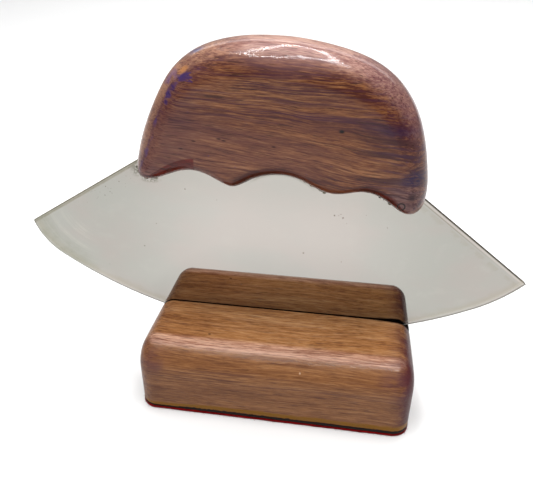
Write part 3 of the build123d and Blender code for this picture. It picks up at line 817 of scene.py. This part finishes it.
def resin_drops():
    """Squeezed-out resin set hard along the grip's mouth: beads, a drip and a smear."""
    rng = random.Random(23)
    me = bpy.data.meshes.new("resin_drops")
    bm = bmesh.new()
    drops = [  # u, w, radius along u, along w, stand-off from the blade's face
        (18.49, 25.55, 0.62, 0.50, 0.34), (17.0, 26.3, 1.10, 0.34, 0.28), (14.7, 27.45, 1.30, 0.34, 0.26),
        (12.2, 28.7, 1.20, 0.32, 0.24), (35.97, 26.74, 0.62, 0.36, 0.30), (36.95, 26.0, 0.50, 0.34, 0.28),
        (38.3, 25.35, 0.34, 0.26, 0.22), (40.4, 24.1, 0.66, 0.44, 0.34), (42.2, 23.4, 0.60, 0.40, 0.32),
        (-40.1, 24.1, 0.90, 0.36, 0.28), (-43.3, 23.8, 0.80, 0.40, 0.30), (-44.9, 24.8, 0.60, 0.50, 0.30),
        (-45.9, 25.9, 0.50, 0.62, 0.28), (-46.4, 27.4, 0.42, 0.50, 0.24),
    ]
    for side in (-1, 1):
        for u, w, ru, rw, out in drops:
            if side > 0:  # the hidden face has its own, roughly mirrored set
                u, w, ru = u + rng.uniform(-0.8, 0.8), w, ru * rng.uniform(0.7, 1.1)
            lean = rng.uniform(-0.5, 0.1)
            made = bmesh.ops.create_icosphere(bm, subdivisions=3, radius=1.0)
            lump = [rng.uniform(-1, 1) for _ in range(6)]
            for v in made["verts"]:
                c = v.co
                k = 1 + 0.12 * (lump[0] * c.x * c.z + lump[1] * c.x + lump[2] * c.z * c.z + lump[3] * math.sin(4 * c.x + 3 * lump[4]))
                a, b = c.x * ru * k, c.z * rw * k
                v.co = at(u + a * math.cos(lean) - b * math.sin(lean), w + a * math.sin(lean) + b * math.cos(lean), side * (0.70 + max(0.0, (c.y * 0.5 + 0.5)) * out))
    bm.normal_update()
    bmesh.ops.recalc_face_normals(bm, faces=bm.faces)
    bm.to_mesh(me)
    bm.free()
    me.materials.append(resin_mat.mat)
    for poly in me.polygons:
        poly.use_smooth = True
    ob = bpy.data.objects.new("resin_drops", me)
    bpy.context.collection.objects.link(ob)
    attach(ob, "knife")


felt()
squeeze_out()
resin_drops()


# ------------------------------------------------------------------ camera as in the photograph
def camera():
    yaw, pitch, roll = math.radians(-8.520), math.radians(29.217), math.radians(0.356)
    fwd = Vector((math.sin(yaw) * math.cos(pitch), math.cos(yaw) * math.cos(pitch), -math.sin(pitch)))
    right = Vector((math.cos(yaw), -math.sin(yaw), 0.0))
    up = right.cross(fwd)
    r2 = right * math.cos(roll) + up * math.sin(roll)
    u2 = up * math.cos(roll) - right * math.sin(roll)
    cam = bpy.data.cameras.new("camera")
    cam.sensor_fit = "HORIZONTAL"
    cam.sensor_width = 36.0
    cam.lens = 36.0 * 548.84 / 533.0
    cam.clip_start = 0.01
    cam.clip_end = 20.0
    ob = bpy.data.objects.new("camera", cam)
    bpy.context.collection.objects.link(ob)
    m = Matrix((r2, u2, -fwd)).transposed().to_4x4()
    m.translation = Vector((0.01895, -0.16945, 0.15235))
    ob.matrix_world = m
    bpy.context.scene.camera = ob


camera()


# ------------------------------------------------------------------ pale floor and soft studio light
def floor():
    me = bpy.data.meshes.new("floor")
    s = 3.0
    me.from_pydata([(-s, -s, 0), (s, -s, 0), (s, s, 0), (-s, s, 0)], [], [(0, 1, 2, 3)])
    ob = bpy.data.objects.new("floor", me)
    bpy.context.collection.objects.link(ob)
    g = Graph("floor_white")
    g.bsdf.inputs["Base Color"].default_value = (0.845, 0.845, 0.845, 1)
    g.bsdf.inputs["Roughness"].default_value = 0.6
    g.bsdf.inputs["Specular IOR Level"].default_value = 0.2
    me.materials.append(g.mat)


floor()


def studio():
    """White surroundings, brighter overhead, and a ring of strip lights above."""
    world = bpy.data.worlds.new("studio")
    bpy.context.scene.world = world
    world.use_nodes = True
    nt = world.node_tree
    bg = nt.nodes["Background"]
    tc = nt.nodes.new("ShaderNodeTexCoord")
    sep = nt.nodes.new("ShaderNodeSeparateXYZ")
    nt.links.new(tc.outputs["Generated"], sep.inputs[0])
    ramp = nt.nodes.new("ShaderNodeValToRGB")
    tilt = nt.nodes.new("ShaderNodeMath")
    tilt.operation = "MULTIPLY_ADD"
    nt.links.new(sep.outputs[0], tilt.inputs[0])
    tilt.inputs[1].default_value = -0.16
    nt.links.new(sep.outputs[2], tilt.inputs[2])
    nt.links.new(tilt.outputs[0], ramp.inputs[0])
    e = ramp.color_ramp.elements
    e[0].position, e[0].color = 0.0, (0.32, 0.32, 0.32, 1)
    e[1].position, e[1].color = 0.9, (1.0, 1.0, 1.0, 1)
    nt.links.new(ramp.outputs[0], bg.inputs[0])
    bg.inputs[1].default_value = 0.62
    height, aim = 0.85, Vector((0.0, 0.0, 0.115))
    ring = [
        (-0.28, -0.25), (-0.20, -0.42), (-0.10, -0.46), (0.00, -0.35), (0.09, -0.20),
        (0.20, -0.12), (0.27, 0.05), (0.25, 0.25), (0.19, 0.52), (0.13, 0.66),
        (0.04, 0.74), (-0.04, 0.55), (-0.14, 0.16), (-0.22, -0.08),
    ]
    for i, (p, q) in enumerate(zip(ring, ring[1:] + ring[:1])):
        p = aim + Vector((p[0], p[1], 1.0)) * height
        q = aim + Vector((q[0], q[1], 1.0)) * height
        length = (q - p).length
        width = 0.030
        glow = 41.0 if (p.y + q.y) / 2 < 0.0 else 34.5
        d = bpy.data.lights.new("strip_%02d" % i, "AREA")
        d.shape = "RECTANGLE"
        d.size, d.size_y = length + width, width
        d.energy = glow * math.pi * d.size * d.size_y
        ob = bpy.data.objects.new("strip_%02d" % i, d)
        bpy.context.collection.objects.link(ob)
        x = (q - p).normalized()
        z = ((p + q) / 2 - aim).normalized()
        y = z.cross(x).normalized()
        m = Matrix((x, y, x.cross(y))).transposed().to_4x4()
        m.translation = (p + q) / 2
        ob.matrix_world = m
    d = bpy.data.lights.new("ceiling", "AREA")
    d.shape = "RECTANGLE"
    d.size, d.size_y = 0.52, 0.88
    d.energy = 2.15 * math.pi * d.size * d.size_y
    ob = bpy.data.objects.new("ceiling", d)
    bpy.context.collection.objects.link(ob)
    ob.location = (0.0, 0.19, 0.99)
    for name, where, glow in (("panel_left", (-0.29, -0.10, 0.98), 4.5), ("panel_right", (0.27, -0.04, 0.98), 9.0)):
        d = bpy.data.lights.new(name, "AREA")
        d.shape = "ELLIPSE"
        d.size, d.size_y = 0.12, 0.20
        d.energy = glow * math.pi * d.size * d.size_y
        ob = bpy.data.objects.new(name, d)
        bpy.context.collection.objects.link(ob)
        ob.location = where
    d = bpy.data.lights.new("backdrop_light", "AREA")
    d.shape = "RECTANGLE"
    d.size, d.size_y = 2.4, 0.9
    d.energy = 1.6 * math.pi * d.size * d.size_y
    ob = bpy.data.objects.new("backdrop_light", d)
    bpy.context.collection.objects.link(ob)
    ob.location = (0.0, 1.45, 0.95)


studio()

bpy.context.scene.view_settings.view_transform = "Standard"
bpy.context.scene.view_settings.look = "None"
